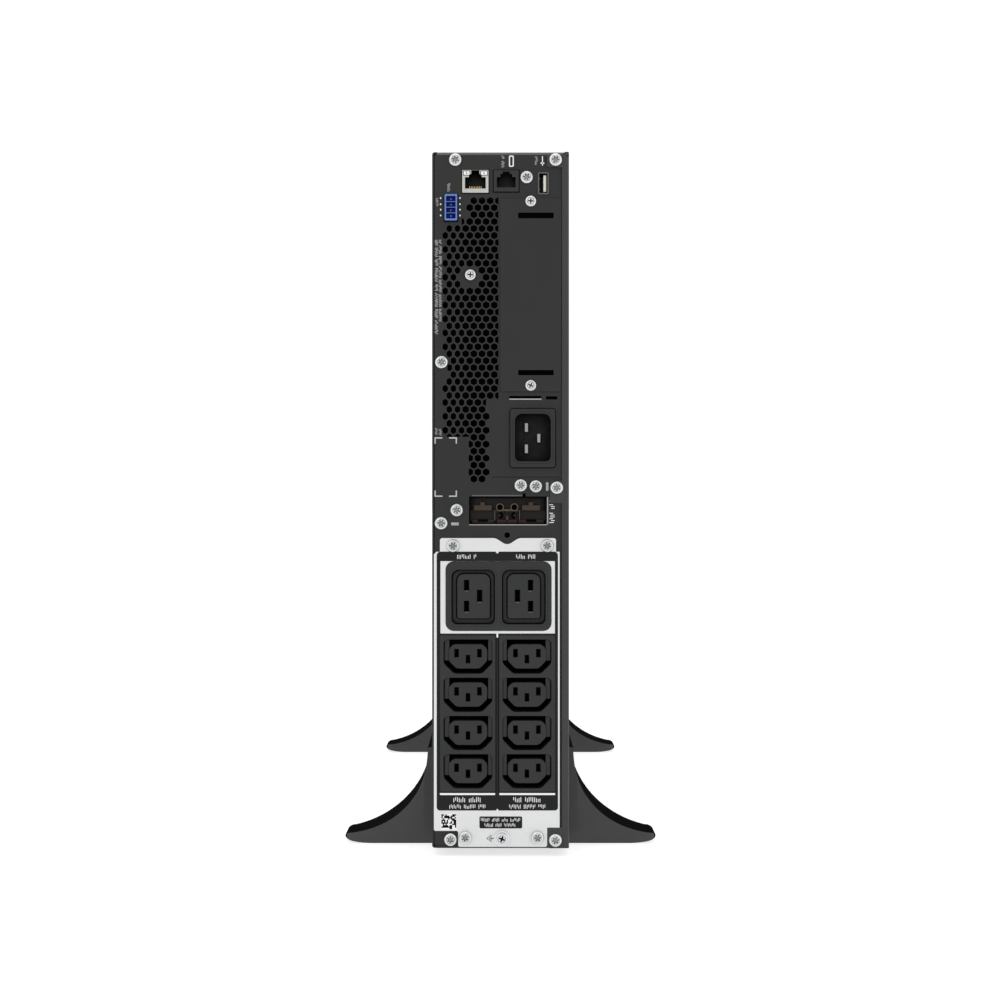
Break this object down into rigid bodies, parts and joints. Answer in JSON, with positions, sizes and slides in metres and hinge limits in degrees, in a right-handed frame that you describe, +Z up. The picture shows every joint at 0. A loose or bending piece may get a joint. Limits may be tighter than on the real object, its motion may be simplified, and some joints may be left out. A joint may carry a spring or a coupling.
{
  "type": "rackmount ups",
  "caption": "Slim rack or tower uninterruptible power supply standing in curved tower feet, with a rear outlet panel and a slide-out battery module.",
  "frame": {"origin": "on the floor under the middle of the bounding box", "axes": "+Z up, +Y out of the front bezel, -Y out of the connector panel, +X towards the side cover"},
  "size_m": [0.2004, 0.638, 0.437],
  "materials": {
    "dark_steel": "fine dark grey powder coat",
    "zinc_steel": "zinc plated sheet",
    "bright_plate": "pale satin plate",
    "outlet_plastic": "satin black moulding",
    "black_plastic": "fine grained black moulding",
    "bezel_plastic": "textured black moulding",
    "foot_plastic": "dark grey moulding with a glossy rim",
    "tin_plate": "tin plated",
    "screw_steel": "bright zinc plated",
    "blue_plastic": "blue moulding",
    "brown_plastic": "dark brown moulding",
    "white_plastic": "white moulding",
    "circuit_board": "green solder mask",
    "lens": "glossy dark window",
    "button_plastic": "dark grey moulding",
    "battery_case": "dark grey moulding",
    "heat_sink": "plain extrusion",
    "sleeve": "printed shrink sleeve",
    "transformer": "varnished core and winding"
  },
  "bodies": {
    "chassis": {"chassis_tray": "dark_steel", "side_cover": "dark_steel", "rear_panel": "dark_steel", "expansion_slot_cover": "dark_steel", "front_frame": "zinc_steel", "bay_divider": "zinc_steel", "outlet_plate": "bright_plate", "outlet_bank_group_1": "outlet_plastic", "outlet_bank_group_2": "outlet_plastic", "outlet_pair_16a": "outlet_plastic", "inlet_housing": "black_plastic", "serial_jack": "black_plastic", "display_housing": "black_plastic", "bay_socket": "black_plastic", "fan_housing_lower": "black_plastic", "fan_housing_upper": "black_plastic", "foot_rear_left": "foot_plastic", "foot_rear_right": "foot_plastic", "foot_front_left": "foot_plastic", "foot_front_right": "foot_plastic", "network_jack": "tin_plate", "usb_shell": "tin_plate", "inlet_blade_line": "tin_plate", "inlet_blade_neutral": "tin_plate", "inlet_blade_earth": "tin_plate", "earth_screw": "screw_steel", "epo_header": "blue_plastic", "dc_socket": "brown_plastic", "usb_tongue": "white_plastic", "outlet_board": "circuit_board", "comms_board": "circuit_board", "main_board": "circuit_board", "display_lens": "lens", "heatsink_rear": "heat_sink", "heatsink_front": "heat_sink", "bus_capacitor_1": "sleeve", "bus_capacitor_2": "sleeve", "power_transformer": "transformer"},
    "front_bezel": {"front_bezel": "bezel_plastic"},
    "bezel_latch_upper": {"bezel_latch_upper": "black_plastic"},
    "bezel_latch_lower": {"bezel_latch_lower": "black_plastic"},
    "battery_module": {"battery_tray": "zinc_steel", "battery_plug": "black_plastic", "battery_handle": "black_plastic", "battery_block_1": "battery_case", "battery_block_2": "battery_case", "battery_block_3": "battery_case", "battery_block_4": "battery_case", "battery_block_5": "battery_case", "battery_block_6": "battery_case", "battery_block_7": "battery_case", "battery_block_8": "battery_case"},
    "fan_rotor_lower": {"fan_rotor_lower": "black_plastic"},
    "fan_rotor_upper": {"fan_rotor_upper": "black_plastic"},
    "power_button": {"power_button": "button_plastic"},
    "escape_button": {"escape_button": "button_plastic"},
    "up_button": {"up_button": "button_plastic"},
    "down_button": {"down_button": "button_plastic"},
    "enter_button": {"enter_button": "button_plastic"}
  },
  "joints": [
    {"name": "battery_slide", "type": "slide", "parent": "chassis", "child": "battery_module", "axis": [0, 1, 0], "range_m": [0, 0.39]},
    {"name": "bezel_pull", "type": "slide", "parent": "battery_module", "child": "front_bezel", "axis": [0, 1, 0], "range_m": [0, 0.06]},
    {"name": "latch_upper_press", "type": "slide", "parent": "front_bezel", "child": "bezel_latch_upper", "axis": [0, 0, -1], "range_m": [0, 0.0025], "stiffness_N_per_m": 600, "springref_m": -0.001},
    {"name": "latch_lower_press", "type": "slide", "parent": "front_bezel", "child": "bezel_latch_lower", "axis": [0, 0, 1], "range_m": [0, 0.0025], "stiffness_N_per_m": 600, "springref_m": -0.001},
    {"name": "fan_lower_spin", "type": "hinge", "parent": "chassis", "child": "fan_rotor_lower", "pos_m": [0, -0.1935, 0.2765], "axis": [0, 1, 0], "continuous": true},
    {"name": "fan_upper_spin", "type": "hinge", "parent": "chassis", "child": "fan_rotor_upper", "pos_m": [0, -0.1935, 0.362], "axis": [0, 1, 0], "continuous": true},
    {"name": "power_press", "type": "slide", "parent": "chassis", "child": "power_button", "axis": [0, -1, 0], "range_m": [0, 0.0012], "stiffness_N_per_m": 400, "springref_m": -0.001},
    {"name": "escape_press", "type": "slide", "parent": "chassis", "child": "escape_button", "axis": [0, -1, 0], "range_m": [0, 0.0012], "stiffness_N_per_m": 400, "springref_m": -0.001},
    {"name": "up_press", "type": "slide", "parent": "chassis", "child": "up_button", "axis": [0, -1, 0], "range_m": [0, 0.0012], "stiffness_N_per_m": 400, "springref_m": -0.001},
    {"name": "down_press", "type": "slide", "parent": "chassis", "child": "down_button", "axis": [0, -1, 0], "range_m": [0, 0.0012], "stiffness_N_per_m": 400, "springref_m": -0.001},
    {"name": "enter_press", "type": "slide", "parent": "chassis", "child": "enter_button", "axis": [0, -1, 0], "range_m": [0, 0.0012], "stiffness_N_per_m": 400, "springref_m": -0.001}
  ]
}
